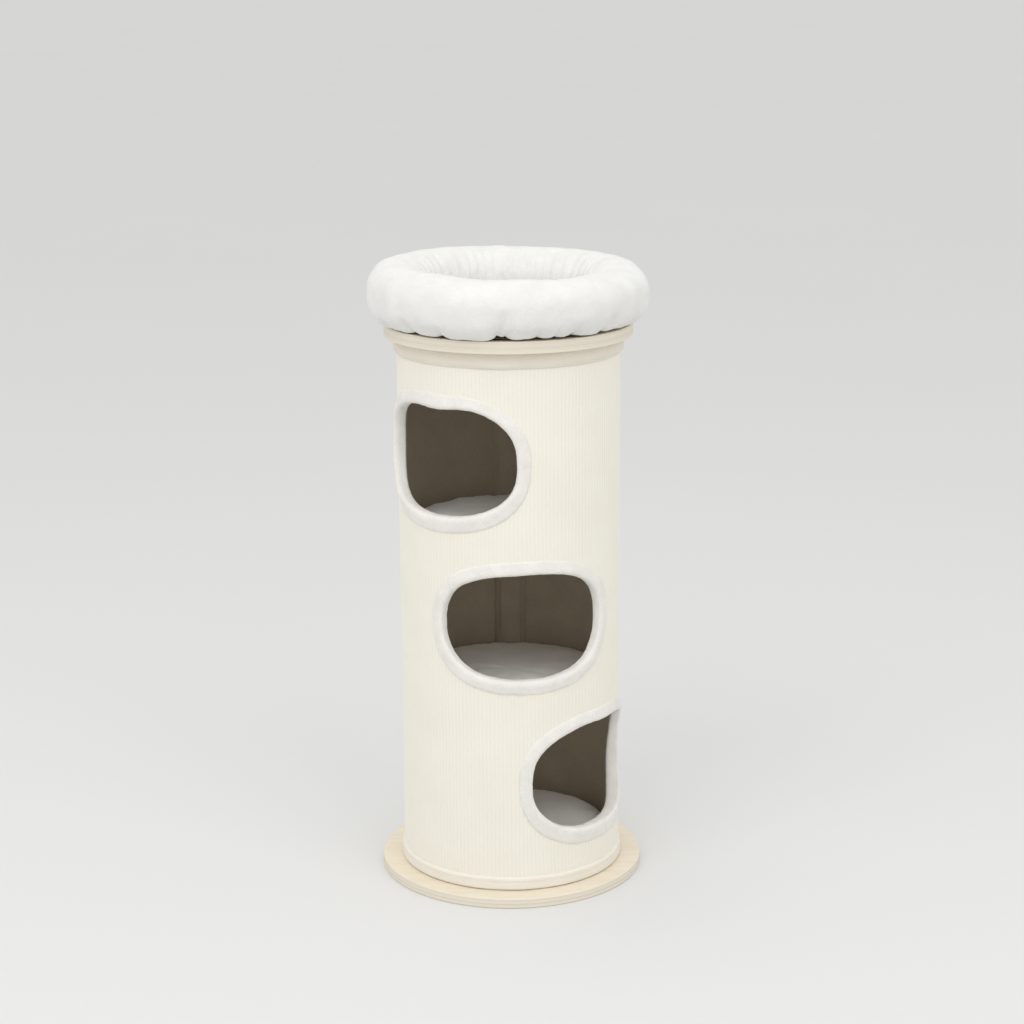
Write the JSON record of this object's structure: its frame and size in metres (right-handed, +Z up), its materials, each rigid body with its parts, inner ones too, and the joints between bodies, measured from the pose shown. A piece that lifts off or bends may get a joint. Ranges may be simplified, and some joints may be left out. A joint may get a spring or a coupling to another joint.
{
  "type": "cat tree",
  "caption": "Round cloth-covered cat barrel with stacked rooms, spiralling plush-edged doorways, plywood base and top boards, and a lift-off round bed.",
  "frame": {"origin": "centre of the base board's underside, on the floor", "axes": "+Z up along the barrel's axis, -Y is the front, between the doorways that face forwards; +X is to the right seen from the front"},
  "size_m": [0.412, 0.412, 0.9315],
  "materials": {
    "plywood": "clear satin lacquer on birch plywood",
    "batten_wood": "planed softwood",
    "fibreboard": "raw rolled fibreboard",
    "zinc_steel": "zinc-plated steel",
    "ribbed_cloth": "cream cloth with fine upright ribs",
    "hem_cloth": "smooth cream binding cloth",
    "white_plush": "short-pile plush binding",
    "pad_plush": "short-pile plush pad cover",
    "bed_plush": "soft short-pile plush over fibre filling",
    "bed_base_cloth": "woven base cloth",
    "taupe_felt": "needled felt lining",
    "fastener_tape": "hook-and-loop fastener tape"
  },
  "bodies": {
    "tree": {"base_board": "plywood", "base_screws": "zinc_steel", "bottom_board": "plywood", "middle_floor_board": "plywood", "upper_floor_board": "plywood", "cap_board": "plywood", "top_board": "plywood", "top_screws": "zinc_steel", "shell_lower": "fibreboard", "shell_middle": "fibreboard", "shell_upper": "fibreboard", "lining_lower": "taupe_felt", "lining_middle": "taupe_felt", "lining_upper": "taupe_felt", "seam_battens": "batten_wood", "wall_staples": "zinc_steel", "ribbed_cover": "ribbed_cloth", "bottom_hem": "hem_cloth", "top_hem": "hem_cloth", "trim_lower": "white_plush", "trim_middle": "white_plush", "trim_upper": "white_plush", "floor_pad_lower": "pad_plush", "floor_pad_middle": "pad_plush", "floor_pad_upper": "pad_plush", "hook_strips": "fastener_tape"},
    "bed": {"bed_bolster": "bed_plush", "bed_pad": "bed_plush", "bed_base_cloth": "bed_base_cloth", "loop_strips": "fastener_tape"}
  },
  "joints": [
    {"name": "bed_lift", "type": "slide", "parent": "tree", "child": "bed", "axis": [0, 0, 1], "range_m": [0, 0.25]}
  ]
}
